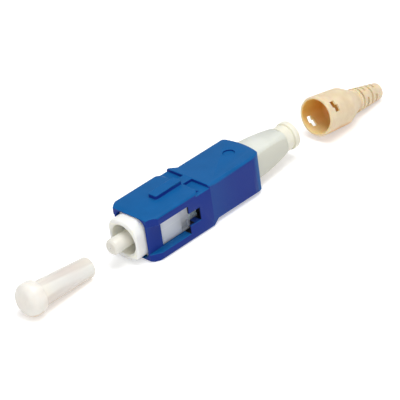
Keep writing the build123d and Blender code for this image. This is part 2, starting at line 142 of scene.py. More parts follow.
def area_lamp(name, place, aim, size, watts):
    """A square soft lamp at place that faces aim."""
    data = bpy.data.lights.new(name, "AREA")
    data.shape = "SQUARE"
    data.size = size
    data.energy = watts
    lamp = bpy.data.objects.new(name, data)
    facing = (aim - place).normalized()
    rotation = facing.to_track_quat("-Z", "Y").to_matrix().to_4x4()
    lamp.matrix_world = Matrix.Translation(place) @ rotation
    bpy.context.scene.collection.objects.link(lamp)


centre = (housing_low + housing_high) / 2
for name, (offset, size, watts) in LAMPS.items():
    area_lamp(name, centre + Vector(offset), centre, size, watts)
print("lamps:", ", ".join(LAMPS))

# %% [markdown]
# The world fills the rest evenly. At a plain level its grey would show behind the object, and at
# full white it would wash the object out. So it has two backgrounds: the camera sees a white one,
# and everything else is lit by the plain one.

# %% World
WHITE = (1.0, 1.0, 1.0, 1.0)
WORLD_LEVEL = 0.42
SEEN_LEVEL = 1.0

world = bpy.data.worlds.new("studio")
bpy.context.scene.world = world
world.use_nodes = True
tree = world.node_tree
tree.nodes.clear()
output = tree.nodes.new("ShaderNodeOutputWorld")
path = tree.nodes.new("ShaderNodeLightPath")
choose = tree.nodes.new("ShaderNodeMixShader")
tree.links.new(path.outputs["Is Camera Ray"], choose.inputs["Fac"])
for level, socket in ((WORLD_LEVEL, choose.inputs[1]), (SEEN_LEVEL, choose.inputs[2])):
    background = tree.nodes.new("ShaderNodeBackground")
    background.inputs["Color"].default_value = WHITE
    background.inputs["Strength"].default_value = level
    tree.links.new(background.outputs["Background"], socket)
tree.links.new(choose.outputs["Shader"], output.inputs["Surface"])
bpy.context.scene.view_settings.view_transform = "Standard"
print("world: level", WORLD_LEVEL, "on the object, white behind it")

# %% [markdown]
# In the editor, nodes are wired with the mouse. In a script the same few lines come back for every
# Math and Map Range node, so two small helpers take them up. Both accept another node's output or
# a plain number for any of their inputs.

# %% Node helpers
def feed(tree, value, socket):
    """Gives a socket another node's output, or a plain number or colour."""
    if isinstance(value, bpy.types.NodeSocket):
        tree.links.new(value, socket)
    else:
        socket.default_value = value


def maths(tree, operation, *values):
    """The result of one Math node."""
    node = tree.nodes.new("ShaderNodeMath")
    node.operation = operation
    for value, socket in zip(values, node.inputs):
        feed(tree, value, socket)
    return node.outputs[0]


def mapped(tree, value, start, end, low=0.0, high=1.0, smooth=False):
    """The value's way from start to end, as a number that goes from low to high."""
    node = tree.nodes.new("ShaderNodeMapRange")
    if smooth:
        node.interpolation_type = "SMOOTHSTEP"
    feed(tree, value, node.inputs["Value"])
    node.inputs["From Min"].default_value = start
    node.inputs["From Max"].default_value = end
    node.inputs["To Min"].default_value = low
    node.inputs["To Max"].default_value = high
    return node.outputs["Result"]


print("node helpers ready: feed, maths, mapped")

# %% [markdown]
# The table is a plain white sheet. A diffuse white floor alone renders as light grey, so the floor
# glows a little for rays that come from the camera, from glossy surfaces or through clear ones.
# More light on the whole scene would whiten it too, but would wash out the object. This way the
# light on the object stays at its plain level, and the soft shadow under it stays too.

# %% Table
FLOOR_SIZE = 4.0
FLOOR_GLOW = 0.42
FLOOR_WHITE = (0.82, 0.82, 0.82, 1.0)


def white_table_material():
    """Matte white, with a glow that only direct, mirrored and refracted views see."""
    material = bpy.data.materials.new("table_white")
    material.use_nodes = True
    tree = material.node_tree
    tree.nodes.clear()
    output = tree.nodes.new("ShaderNodeOutputMaterial")
    diffuse = tree.nodes.new("ShaderNodeBsdfDiffuse")
    diffuse.inputs["Color"].default_value = FLOOR_WHITE
    rays = tree.nodes.new("ShaderNodeLightPath").outputs
    seen = maths(tree, "MAXIMUM", rays["Is Camera Ray"], rays["Is Glossy Ray"])
    seen = maths(tree, "MAXIMUM", seen, rays["Is Transmission Ray"])
    glow = tree.nodes.new("ShaderNodeEmission")
    feed(tree, maths(tree, "MULTIPLY", seen, FLOOR_GLOW), glow.inputs["Strength"])
    add = tree.nodes.new("ShaderNodeAddShader")
    tree.links.new(diffuse.outputs[0], add.inputs[0])
    tree.links.new(glow.outputs[0], add.inputs[1])
    tree.links.new(add.outputs[0], output.inputs["Surface"])
    return material


shape = bmesh.new()
bmesh.ops.create_grid(shape, x_segments=1, y_segments=1, size=FLOOR_SIZE / 2)
floor_mesh = bpy.data.meshes.new("table")
shape.to_mesh(floor_mesh)
shape.free()
floor_mesh.materials.append(white_table_material())
floor = bpy.data.objects.new("table", floor_mesh)
bpy.context.scene.collection.objects.link(floor)
print("table:", FLOOR_SIZE, "m square")

# %% [markdown]
# Almost every piece here is moulded plastic. Real mouldings aren't one flat colour: the pigment
# flows in faint clouds, the surface carries the fine grain of the steel tool, and the grain breaks
# up the gloss. A picture could carry all that, but noise nodes hold at any distance and need no
# unwrapping. They are read from Object coordinates, so they stay on the piece when it moves.

# %% Clouds and grain
def shade_ramp(tree, factor, deep, pale, start=0.3, end=0.7):
    """A colour that goes from deep to pale as the factor goes from start to end."""
    ramp = tree.nodes.new("ShaderNodeValToRGB")
    ramp.color_ramp.elements[0].position = start
    ramp.color_ramp.elements[0].color = (*deep, 1.0)
    ramp.color_ramp.elements[1].position = end
    ramp.color_ramp.elements[1].color = (*pale, 1.0)
    tree.links.new(factor, ramp.inputs["Fac"])
    return ramp.outputs["Color"]


def fine_noise(tree, where, size_mm, detail=2):
    """Soft noise whose lumps are about size_mm across, read at the given coordinates."""
    noise = tree.nodes.new("ShaderNodeTexNoise")
    noise.inputs["Scale"].default_value = 1 / (size_mm * MM)
    noise.inputs["Detail"].default_value = detail
    tree.links.new(where, noise.inputs["Vector"])
    return noise.outputs["Fac"]


def break_the_gloss(tree, shader, grain, roughness, spread):
    """The roughness goes up and down by a share of itself, as the grain does."""
    broken = mapped(tree, grain, 0.0, 1.0, roughness * (1 - spread), roughness * (1 + spread))
    tree.links.new(broken, shader.inputs["Roughness"])


print("surface helpers ready: shade_ramp, fine_noise, break_the_gloss")

# %% Moulded plastic
PLASTIC_IOR = 1.49
PLASTIC_SPREAD = 0.15
CLOUD_DETAIL = 3


def moulded_plastic(name, pale, deep, roughness, cloud_mm, grain_mm, grain_depth_mm, gloss=0.5):
    """A moulded plastic: two pigment shades in clouds, tool grain as bump, broken gloss."""
    material = bpy.data.materials.new(name)
    material.use_nodes = True
    tree = material.node_tree
    shader = tree.nodes["Principled BSDF"]
    where = tree.nodes.new("ShaderNodeTexCoord").outputs["Object"]
    clouds = fine_noise(tree, where, cloud_mm, CLOUD_DETAIL)
    tree.links.new(shade_ramp(tree, clouds, deep, pale), shader.inputs["Base Color"])

    grain = fine_noise(tree, where, grain_mm)
    break_the_gloss(tree, shader, grain, roughness, PLASTIC_SPREAD)
    bump = tree.nodes.new("ShaderNodeBump")
    bump.inputs["Distance"].default_value = grain_depth_mm * MM
    tree.links.new(grain, bump.inputs["Height"])
    tree.links.new(bump.outputs["Normal"], shader.inputs["Normal"])
    shader.inputs["IOR"].default_value = PLASTIC_IOR
    shader.inputs["Specular IOR Level"].default_value = gloss
    return material


def dress(piece, material):
    """The piece shows this material on all its faces."""
    if not piece.material_slots:
        piece.data.materials.append(material)
    for index in range(len(piece.material_slots)):
        piece.material_slots[index].material = material


print("plastic helpers ready: moulded_plastic, dress")

# %% [markdown]
# A moulding's faces don't all look alike. Those that look down pick up warm light from the piece
# itself, the sides look darker than the top, and deep gaps get hardly any light. Plain soft lamps
# show only a part of that, so this light and shade is painted: a thin wash of another shade goes
# over the plastic there. This helper paints it by the direction in which the piece's own surface
# looks, so the painted light and shade belongs to the piece and stays on it from every side.

# %% Painted shading by direction
def base_colour(material):
    """A material's node tree, its shader, and the socket that now colours the shader."""
    tree = material.node_tree
    shader = tree.nodes["Principled BSDF"]
    return tree, shader, shader.inputs["Base Color"].links[0].from_socket


def mixed(tree, blend, factor, first, second):
    """Two colours mixed: the blend is MIX or MULTIPLY, the factor a socket or a number."""
    mix = tree.nodes.new("ShaderNodeMix")
    mix.data_type = "RGBA"
    mix.blend_type = blend
    feed(tree, factor, mix.inputs["Factor"])
    feed(tree, first, mix.inputs["A"])
    feed(tree, second, mix.inputs["B"])
    return mix.outputs["Result"]


def facing_along(tree, axis):
    """How squarely the piece's own surface looks along an axis, from -1 to 1."""
    parts = tree.nodes.new("ShaderNodeSeparateXYZ")
    normal = tree.nodes.new("ShaderNodeTexCoord").outputs["Normal"]
    tree.links.new(normal, parts.inputs[0])
    return parts.outputs[axis]


def paint_shading_by_facing(material, shade, strength, start, end, axis="Z", both_ways=False):
    """Paints light and shade: mixes a second shade in where the surface's normal goes from start to
    end on an axis.
    """
    tree, shader, plain = base_colour(material)
    way = facing_along(tree, axis)
    if both_ways:
        way = maths(tree, "ABSOLUTE", way)
    share = mapped(tree, way, start, end, high=strength, smooth=True)
    colour = mixed(tree, "MIX", share, plain, (*shade, 1.0))
    tree.links.new(colour, shader.inputs["Base Color"])


print("wash helper ready: paint_shading_by_facing")

# %% [markdown]
# Other painted light and shade lies in one place: the wall of a slot, or the skin that shows
# through a window. The faces there could get a material of their own, but a second material ends at
# an edge of the mesh.
# A box in the piece's own coordinates can end anywhere. The plug is the same on both sides and,
# inside, above and below its axis, so the box's limits are distances from the axis both ways.

# %% Painted shading in a box
FAR_BACK = -100.0
BOX_EDGE = 0.04


def paint_shading_in_box(material, shade, strength, x, y, z):
    """Paints light and shade: mixes a shade in between limits along X, |Y| and |Z| from the plug's
    axis, in mm.
    """
    tree, shader, plain = base_colour(material)
    limits = (x, y, z)
    start = (FAR_BACK, 0.0, AXIS_HEIGHT)
    middle = [(low + high) / 2 for low, high in limits]
    middle[0] -= FAR_BACK
    half = [abs(high - low) / 2 for low, high in limits]
    value = tree.nodes.new("ShaderNodeTexCoord").outputs["Object"]
    for operation, numbers in (
        ("SUBTRACT", start),
        ("ABSOLUTE", None),
        ("SUBTRACT", middle),
        ("ABSOLUTE", None),
        ("SUBTRACT", half),
    ):
        step = tree.nodes.new("ShaderNodeVectorMath")
        step.operation = operation
        tree.links.new(value, step.inputs[0])
        if numbers:
            step.inputs[1].default_value = [number * MM for number in numbers]
        value = step.outputs["Vector"]
    outside = tree.nodes.new("ShaderNodeSeparateXYZ")
    tree.links.new(value, outside.inputs[0])
    furthest = outside.outputs["X"]
    for name in ("Y", "Z"):
        furthest = maths(tree, "MAXIMUM", furthest, outside.outputs[name])
    share = mapped(tree, furthest, BOX_EDGE * MM, -BOX_EDGE * MM, high=strength)
    colour = mixed(tree, "MIX", share, plain, (*shade, 1.0))
    tree.links.new(colour, shader.inputs["Base Color"])


print("wash helper ready: paint_shading_in_box")

# %% [markdown]
# A CAD solid comes in as loose triangles with perfectly sharp edges, but a moulding has none: the
# tool's corners are rounded by a tenth of a millimetre or so, and those narrow rounds catch the
# light and draw the shape. Drawing each flat-sided piece again would risk its sizes. So the piece
# is a copy of its solid, merged into one skin, with a narrow bevel along each sharp edge, and the
# copy then stands for the solid.

# %% Copy with softened edges
SHARP_EDGE = math.radians(28)
FLAT_ANGLE = math.radians(1)
MERGE = 0.0005 * MM
EDGE_SEGMENTS = 3


def choose_edges(shape, sharp, stays_sharp=None):
    """Each edge sharper than the angle gets a bevel weight, or stays sharp where that is asked."""
    weight = shape.edges.layers.float.new("bevel_weight_edge")
    for edge in shape.edges:
        if len(edge.link_faces) == 2 and edge.calc_face_angle(0) > sharp:
            if stays_sharp and stays_sharp([vert.co / MM for vert in edge.verts]):
                edge.smooth = False
            else:
                edge[weight] = 1.0


def round_edges(piece, width_mm):
    """A narrow round along every edge that carries a bevel weight."""
    rounds = piece.modifiers.new("rounded_edges", "BEVEL")
    rounds.width = width_mm * MM
    rounds.segments = EDGE_SEGMENTS
    rounds.limit_method = "WEIGHT"
    rounds.use_clamp_overlap = False
    rounds.harden_normals = True
    piece.data.shade_smooth()


def softened(node, name, body, width_mm, sharp=SHARP_EDGE, stays_sharp=None):
    """A copy of a CAD node with rounded edges, that replaces the node and rides on its body."""
    shape = bmesh.new()
    shape.from_mesh(frame["nodes"][node].data)
    bmesh.ops.remove_doubles(shape, verts=shape.verts, dist=MERGE)
    bmesh.ops.dissolve_limit(
        shape, angle_limit=FLAT_ANGLE, verts=shape.verts, edges=shape.edges
    )
    choose_edges(shape, sharp, stays_sharp)
    mesh = bpy.data.meshes.new(name)
    shape.to_mesh(mesh)
    shape.free()
    mesh.materials.clear()
    piece = bpy.data.objects.new(name, mesh)
    bpy.context.scene.collection.objects.link(piece)
    round_edges(piece, width_mm)
    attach(piece, body)
    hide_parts(node)
    print(name, "has", len(mesh.polygons), "faces before its edges are rounded")
    return piece


# %% [markdown]
# The grip is dyed a strong blue. Its flat top and bottom look lighter and greener, and the two
# latch sides are painted a deeper violet blue, as shade. The facet round its tail, which looks
# back, is painted lighter again, as light, and the faces that look down get a deep blue painted
# shade.
# One washed plastic gives all of them without a join in the pigment.

# %% Grip plastic
PAINTED_SIDE_SHADE = (0.008, 0.019, 0.235)
PAINTED_TAIL_LIGHT = (0.008, 0.12, 0.36)
PAINTED_UNDERSIDE_SHADE = (0.0, 0.025, 0.38)

blue_plastic = moulded_plastic(
    "housing_blue",
    pale=(0.003, 0.112, 0.345),
    deep=(0.002, 0.100, 0.31),
    roughness=0.45,
    cloud_mm=2.5,
    grain_mm=0.09,
    grain_depth_mm=0.004,
    gloss=0.15,
)
paint_shading_by_facing(blue_plastic, PAINTED_SIDE_SHADE, 0.85, 0.55, 0.1, both_ways=True)
paint_shading_by_facing(blue_plastic, PAINTED_TAIL_LIGHT, 0.8, -0.1, -0.22, axis="X")
paint_shading_by_facing(blue_plastic, PAINTED_UNDERSIDE_SHADE, 0.8, -0.15, -0.6)
print("grip plastic has three washes by direction")

# %% [markdown]
# A latch channel runs along each side of the grip. It has a window, and behind that a narrow neck
# whose walls are painted darker, as the shade between walls that are close together. Behind the
# window and behind the neck the wall is relieved on its inside. One looks into an almost closed gap
# there, so its walls are painted nearly black, as unlit.

# %% Painted shade in the latch channel
WINDOW_REAR = GRIP_FRONT - 7.7
NECK_REAR = WINDOW_REAR - 2.3
RELIEF = 1.25
RELIEF_LAP = 0.06
CAVITY_SIDE = 3.0
WALL_OUTSIDE = 4.44
GAP_OUTSIDE = 4.46
NECK_HALF_HEIGHT = 1.1
GAP_HALF_HEIGHT = 2.4
PAINTED_NECK_SHADE = (0.008, 0.018, 0.19)
UNLIT = (0.001, 0.001, 0.002)
UNLIT_STRENGTH = 0.97

paint_shading_in_box(
    blue_plastic,
    PAINTED_NECK_SHADE,
    0.8,
    x=(NECK_REAR, WINDOW_REAR),
    y=(CAVITY_SIDE, WALL_OUTSIDE),
    z=(0.0, NECK_HALF_HEIGHT + 0.02),
)
for end, low, high in (
    (WINDOW_REAR, NECK_HALF_HEIGHT, GAP_HALF_HEIGHT),
    (NECK_REAR, 0.0, NECK_HALF_HEIGHT),
):
    paint_shading_in_box(
        blue_plastic,
        UNLIT,
        UNLIT_STRENGTH,
        x=(end - RELIEF, end + RELIEF_LAP),
        y=(CAVITY_SIDE, GAP_OUTSIDE),
        z=(low, high),
    )
print("window ends at", round(WINDOW_REAR, 2), "mm and the neck at", round(NECK_REAR, 2), "mm")

# %% [markdown]
# The grip's edges are rounded by a tenth of a millimetre, apart from three kinds. The step inside
# the cavity is hidden, the tapered edges of the tail run into rounds of their own, and the shallow
# round mark on top is too fine for a bevel: it would fold over. A small test picks them out by
# where their ends lie.

# %% Grip housing
SHOULDER_AT = GRIP_FRONT - 10.2
TAIL_BOW = 0.6
TAIL_TAPER = 1.9
TAPER_START = GRIP_REAR + TAIL_BOW + TAIL_TAPER
MARK_AT = GRIP_REAR + 3.2
MARK_RADIUS = 1.0
SLACK = 0.005
LENGTHWISE = 0.7
GRIP_ROUND = 0.1


def inside_the_grip(ends):
    """The cavity's step, the tail's tapered edges and the shallow round mark stay sharp."""
    on_step = all(abs(end.x - SHOULDER_AT) < SLACK for end in ends)
    line = ends[1] - ends[0]
    in_tail = max(end.x for end in ends) < TAPER_START + 2 * SLACK
    on_taper = in_tail and abs(line.x) > LENGTHWISE * line.length
    from_mark = [math.hypot(end.x - MARK_AT, end.y) for end in ends]
    on_ring = all(abs(reach - MARK_RADIUS) < 4 * SLACK for reach in from_mark)
    return on_step or on_taper or (on_ring and ends[0].z > AXIS_HEIGHT)


grip = softened(
    "outer_housing",
    "grip_housing",
    "housing",
    GRIP_ROUND,
    stays_sharp=inside_the_grip,
)
dress(grip, blue_plastic)

# %% [markdown]
# The plug frame and the rear body are two natural white mouldings. White plastic lets light in a
# little, which takes the edge off its shadows and warms them. A plain diffuse white looks like
# chalk next to it, so both get some light under their surface.

# %% Frame plastic
PAINTED_NOSE_FACE_SHADE = (0.88, 0.88, 0.84)


def let_light_in(material, weight, depth_mm, colour):
    """Light enters the plastic and comes out again within depth_mm, tinted by colour."""
    shader = material.node_tree.nodes["Principled BSDF"]
    shader.inputs["Subsurface Weight"].default_value = weight
    shader.inputs["Subsurface Scale"].default_value = depth_mm * MM
    shader.inputs["Subsurface Radius"].default_value = colour


white_plastic = moulded_plastic(
    "frame_white",
    pale=(0.95, 0.95, 0.91),
    deep=(0.92, 0.92, 0.87),
    roughness=0.32,
    cloud_mm=4,
    grain_mm=0.12,
    grain_depth_mm=0.002,
)
let_light_in(white_plastic, weight=0.7, depth_mm=1.0, colour=(1.0, 0.95, 0.8))
# The faces that look forwards are painted a little darker, as shade.
paint_shading_by_facing(white_plastic, PAINTED_NOSE_FACE_SHADE, 0.9, 0.6, 0.9, axis="X")
print("frame plastic ready")

# %% [markdown]
# The frame shows in four places, and each gets painted light and shade of its own. The pads behind
# the grip's windows lie in blue shade, which is painted on them as a cool grey, and so is the skin
# behind the neck. Further back the frame runs on into the dark, and it is painted nearly black
# there.
# Light in the bore has bounced between its walls and is painted on as a warm tint, and the sides of
# the nose are painted a little darker than its face.

# %% Painted light and shade on the frame
FRAME_FRONT = GRIP_FRONT + 1.9
FRAME_PAINTED_SHADING = {
    "pads": (
        (0.66, 0.70, 0.76), 0.9, (WINDOW_REAR - 4.0, WINDOW_REAR + 4.9), (1.7, 3.2), (0.0, 2.5)
    ),
    "neck": (
        (0.74, 0.93, 1.0), 0.9, (NECK_REAR - 1.3, NECK_REAR + 0.9), (1.7, 3.2), (0.0, 1.3)
    ),
    "behind the neck": (
        UNLIT, UNLIT_STRENGTH, (NECK_REAR - 2.5, NECK_REAR - 0.95), (1.5, 3.0), (0.0, 1.6)
    ),
    "bore": (
        (0.97, 0.955, 0.83), 0.9, (FRAME_FRONT - 9.0, FRAME_FRONT + 0.2), (0.0, 2.5), (0.0, 2.5)
    ),
    "sides of the nose": (
        (0.83, 0.82, 0.80), 0.9, (FRAME_FRONT - 3.0, FRAME_FRONT - 0.1), (2.92, 3.0), (0.0, 2.4)
    ),
}
for shade, strength, x, y, z in FRAME_PAINTED_SHADING.values():
    paint_shading_in_box(white_plastic, shade, strength, x, y, z)
print("washes on the frame:", ", ".join(FRAME_PAINTED_SHADING))

# %% [markdown]
# The frame's edges are rounded as the grip's are. The step inside the nose and the thin rim of the
# bore stay sharp, because the bore has a bevel of its own and a second one would fold over it.

# %% Plug frame
NOSE_END = FRAME_FRONT - 2.6
BORE_BEVEL = 0.25
BORE_RIM_RADIUS = 4.95 / 2 + BORE_BEVEL
RIM_SLACK = 0.05
WHITE_ROUND = 0.08


def on_the_nose(ends):
    """The nose's inner step and the thin rim of the bore stay sharp."""
    on_step = all(abs(end.x - NOSE_END) < SLACK for end in ends)
    at_front = min(end.x for end in ends) > FRAME_FRONT - BORE_BEVEL - RIM_SLACK
    reach = max(math.hypot(end.y, end.z - AXIS_HEIGHT) for end in ends)
    return on_step or (at_front and reach < BORE_RIM_RADIUS + RIM_SLACK)


frame_piece = softened(
    "plug_frame",
    "inner_plug_frame",
    "plug",
    WHITE_ROUND,
    stays_sharp=on_the_nose,
)
dress(frame_piece, white_plastic)

# %% [markdown]
# The rear body is a shade greyer than the frame. Its flats and the cone behind them are lit from
# above, their sides are painted darker, as shade, and the underside is painted a warm shade. Its
# cone is made of shallow facets, so only its really sharp edges get a round.

# %% Rear body
PAINTED_REAR_SIDE_SHADE = (0.66, 0.655, 0.56)
PAINTED_REAR_UNDERSIDE_SHADE = (0.72, 0.60, 0.42)
REAR_SHARP = math.radians(50)

rear_plastic = moulded_plastic(
    "rear_white",
    pale=(0.80, 0.82, 0.76),
    deep=(0.74, 0.76, 0.68),
    roughness=0.38,
    cloud_mm=4,
    grain_mm=0.12,
    grain_depth_mm=0.002,
)
let_light_in(rear_plastic, weight=0.4, depth_mm=0.6, colour=(1.0, 0.97, 0.8))
paint_shading_by_facing(rear_plastic, PAINTED_REAR_SIDE_SHADE, 0.85, 0.8, 0.3, both_ways=True)
paint_shading_by_facing(rear_plastic, PAINTED_REAR_UNDERSIDE_SHADE, 0.7, -0.3, -0.8)
rear_piece = softened(
    "rear_body", "rear_body_shell", "plug", WHITE_ROUND, sharp=REAR_SHARP
)
dress(rear_piece, rear_plastic)

# %% [markdown]
# The round pieces are turned, as on a lathe: an outline is spun about the axis, and each ring of
# edges where the outline has a corner is then rounded by its own radius. This gives finer and
# smoother skins than the CAD triangles, on the same sizes. An outline is a list of corners, each
# a place along the axis, a radius and a rounding, in millimetres.

# %% Turning helper
TURN_STEPS = 96
RING_SEGMENTS = 6
ON_RING = 0.001 * MM


def round_ring(shape, x, radius, width):
    """Rounds the ring of edges that lies at x and radius, all in millimetres."""
    def on_ring(vert):
        spread = math.hypot(vert.co.y, vert.co.z)
        return abs(vert.co.x - x * MM) < ON_RING and abs(spread - radius * MM) < ON_RING

    ring = [edge for edge in shape.edges if all(on_ring(vert) for vert in edge.verts)]
    bmesh.ops.bevel(
        shape,
        geom=ring,
        offset=width * MM,
        affect="EDGES",
        segments=RING_SEGMENTS,
        profile=0.5,
        material=-1,
    )


def turned(corners, closed):
    """A bmesh turned about X from (place, radius, rounding) corners in millimetres."""
    shape = bmesh.new()
    rings = [shape.verts.new((x * MM, 0, radius * MM)) for x, radius, _ in corners]
    pairs = list(zip(rings, rings[1:]))
    if closed:
        pairs.append((rings[-1], rings[0]))
    lines = [shape.edges.new(pair) for pair in pairs]
    bmesh.ops.spin(
        shape,
        geom=rings + lines,
        cent=(0, 0, 0),
        axis=(1, 0, 0),
        angle=math.tau,
        steps=TURN_STEPS,
        use_merge=True,
    )
    bmesh.ops.remove_doubles(shape, verts=shape.verts, dist=MERGE)
    bmesh.ops.recalc_face_normals(shape, faces=shape.faces)
    for index, (x, radius, rounding) in enumerate(corners):
        if rounding:
            before = Vector(corners[index - 1][:2])
            after = Vector(corners[(index + 1) % len(corners)][:2])
            here = Vector((x, radius))
            bend = (here - before).angle(after - here)
            round_ring(shape, x, radius, rounding * math.tan(bend / 2))
    return shape


print("turning helper ready:", TURN_STEPS, "steps to a turn")


# %% From bmesh to piece
def as_piece(shape, name, place, body, node):
    """The bmesh as an object with its place in its mesh, riding on a body in a node's stead."""
    mesh = bpy.data.meshes.new(name)
    shape.to_mesh(mesh)
    shape.free()
    mesh.transform(place)
    mesh.shade_smooth()
    mesh.set_sharp_from_angle(angle=SHARP_EDGE)
    piece = bpy.data.objects.new(name, mesh)
    bpy.context.scene.collection.objects.link(piece)
    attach(piece, body)
    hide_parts(node)
    low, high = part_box(node)
    drawn = [vert.co for vert in mesh.vertices]
    low_gap = max(abs(min(place[k] for place in drawn) - low[k]) for k in range(3)) / MM
    high_gap = max(abs(max(place[k] for place in drawn) - high[k]) for k in range(3)) / MM
    print(name, "lies within", round(max(low_gap, high_gap), 3), "mm of its solid's box")
    return piece


# %% [markdown]
# The ferrule is zirconia, ground round and polished at the tip: a warm, dense white with a sharp
# gloss. Its tip is slightly domed, so that two fibres touch in the middle when plugs meet. A fine
# bore runs down its axis, and the glass fibre ends flush with the dome. Turning gives the dome a
# true curve, which a scaled cylinder wouldn't have.

# %% Ferrule
FERRULE_LENGTH = (ferrule_high.x - ferrule_low.x) / MM
FERRULE_RADIUS = (ferrule_high.z - ferrule_low.z) / 2 / MM
FIBRE_BORE_RADIUS = 0.149 / 2
TIP_BEVEL_LENGTH = 0.4
TIP_BEVEL = 0.28
DOME_RISE = 0.05
DOME_TOP_RADIUS = FERRULE_RADIUS * 0.35

ferrule_shape = turned(
    [
        (0, FIBRE_BORE_RADIUS, 0),
        (0, FERRULE_RADIUS - TIP_BEVEL / 2, 0.1),
        (TIP_BEVEL_LENGTH / 2, FERRULE_RADIUS, 0.1),
        (FERRULE_LENGTH - TIP_BEVEL_LENGTH, FERRULE_RADIUS, 0.3),
        (FERRULE_LENGTH - DOME_RISE, FERRULE_RADIUS - TIP_BEVEL, 0.25),
        (FERRULE_LENGTH, DOME_TOP_RADIUS, 0.5),
        (FERRULE_LENGTH, FIBRE_BORE_RADIUS, 0),
    ],
    closed=True,
)
ferrule_place = Matrix.Translation((ferrule_low.x, 0, AXIS_Z))
ceramic_ferrule = as_piece(
    ferrule_shape, "ceramic_ferrule", ferrule_place, "core", "ferrule"
)
zirconia = moulded_plastic(
    "ferrule_zirconia",
    pale=(0.82, 0.80, 0.73),
    deep=(0.78, 0.76, 0.685),
    roughness=0.12,
    cloud_mm=2,
    grain_mm=0.04,
    grain_depth_mm=0.0003,
)
let_light_in(zirconia, weight=0.3, depth_mm=0.3, colour=(1.0, 0.95, 0.85))
dress(ceramic_ferrule, zirconia)

# %% [markdown]
# The cream collar closes the rear. It is turned too: a plain ring against the rear body, a narrow
# groove, and a rounded rim that the boot snaps over. Its bore flares to a funnel for the fibre.
# Cutting the groove and the funnel out of a cylinder would take two booleans. In an outline they
# are just corners.

# %% Collar
collar_low, collar_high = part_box("collar")
COLLAR_LENGTH = (collar_high.x - collar_low.x) / MM
RIM_ROUND = 0.25
RIM_LENGTH = 1.0
GROOVE_END = 1.4
RING_RADIUS = 4.24 / 2
GROOVE_RADIUS = 3.85 / 2
RIM_RADIUS = 4.62 / 2
SPIGOT_RADIUS = 3.1 / 2 - 0.03
SPIGOT_LENGTH = 2.2
COLLAR_BORE = 1.3 / 2
COLLAR_MOUTH = 2.0 / 2
FUNNEL_DEPTH = 1.0
COLLAR_ROUND = 0.08
RING_END = COLLAR_LENGTH - SPIGOT_LENGTH - 0.02

collar_shape = turned(
    [
        (0, COLLAR_MOUTH, 0.1),
        (0, RIM_RADIUS, RIM_ROUND),
        (RIM_LENGTH, RIM_RADIUS, 0.15),
        (RIM_LENGTH, GROOVE_RADIUS, COLLAR_ROUND),
        (GROOVE_END, GROOVE_RADIUS, COLLAR_ROUND),
        (GROOVE_END, RING_RADIUS, COLLAR_ROUND),
        (RING_END, RING_RADIUS, 0.1),
        (RING_END, SPIGOT_RADIUS, 0),
        (COLLAR_LENGTH, SPIGOT_RADIUS, 0.1),
        (COLLAR_LENGTH, COLLAR_BORE, 0.05),
        (FUNNEL_DEPTH, COLLAR_BORE, 0.2),
    ],
    closed=True,
)
collar_place = Matrix.Translation((collar_low.x, 0, AXIS_Z))
rear_collar = as_piece(collar_shape, "rear_collar", collar_place, "plug", "collar")
cream_plastic = moulded_plastic(
    "collar_cream",
    pale=(0.89, 0.87, 0.75),
    deep=(0.85, 0.82, 0.69),
    roughness=0.35,
    cloud_mm=2,
    grain_mm=0.1,
    grain_depth_mm=0.002,
)
let_light_in(cream_plastic, weight=0.4, depth_mm=0.4, colour=(1.0, 0.9, 0.7))
dress(rear_collar, cream_plastic)

# %% [markdown]
# The dust cap and the boot lie loose on the table, each tipped onto two of its edges. Their places
# are the same few numbers as in the solid model: the tilt, the turn and where the piece lies. The
# tilt is about Y and the turn about Z, and the lowest point then goes down to the table. Their
# patterns have to follow them, so a Mapping node turns the coordinates by the same matrix.

# %% Laying a turned piece down
def lying(shape, tilt, heading, place):
    """The matrix that tilts a piece, turns it, moves it to place and lowers it to the table."""
    turn = Matrix.Rotation(heading, 4, "Z") @ Matrix.Rotation(tilt, 4, "Y")
    lowest = min((turn @ vert.co).z for vert in shape.verts)
    return Matrix.Translation((place[0] * MM, place[1] * MM, -lowest)) @ turn


def along(tree, place, stretch=1.0):
    """Object coordinates turned so that X runs along the laid piece, and drawn out along it."""
    mapping = tree.nodes.new("ShaderNodeMapping")
    mapping.vector_type = "TEXTURE"
    mapping.inputs["Location"].default_value = place.to_translation()
    mapping.inputs["Rotation"].default_value = place.to_euler()
    mapping.inputs["Scale"].default_value = (stretch, 1.0, 1.0)
    where = tree.nodes.new("ShaderNodeTexCoord").outputs["Object"]
    tree.links.new(where, mapping.inputs["Vector"])
    return mapping.outputs["Vector"]


print("laying helpers ready: lying, along")

# %% [markdown]
# The cap is soft, milky polyethylene: a tapered sleeve that grips the ferrule, and a wider round
# end to hold. It lies on the edge of its mouth and on the round end. The tilt follows from those
# two rounded edges, so the cap really touches the table at both.

# %% Dust cap
CAP_LENGTH = 13.1
CAP_BULB_LENGTH = 2.7
CAP_BULB_RADIUS = 5.25 / 2
CAP_SLEEVE_RADIUS = 4.1 / 2
CAP_MOUTH_RADIUS = 3.25 / 2
CAP_BORE_RADIUS = 2.56 / 2
CAP_BORE_DEPTH = 9.0
CAP_HEADING = math.radians(2.3)
CAP_BULB_PLACE = Vector((24.88, -1.3))
CAP_MOUTH_ROUND = 0.2
CAP_SHOULDER_ROUND = 0.55
CAP_END_ROUND = 1.3

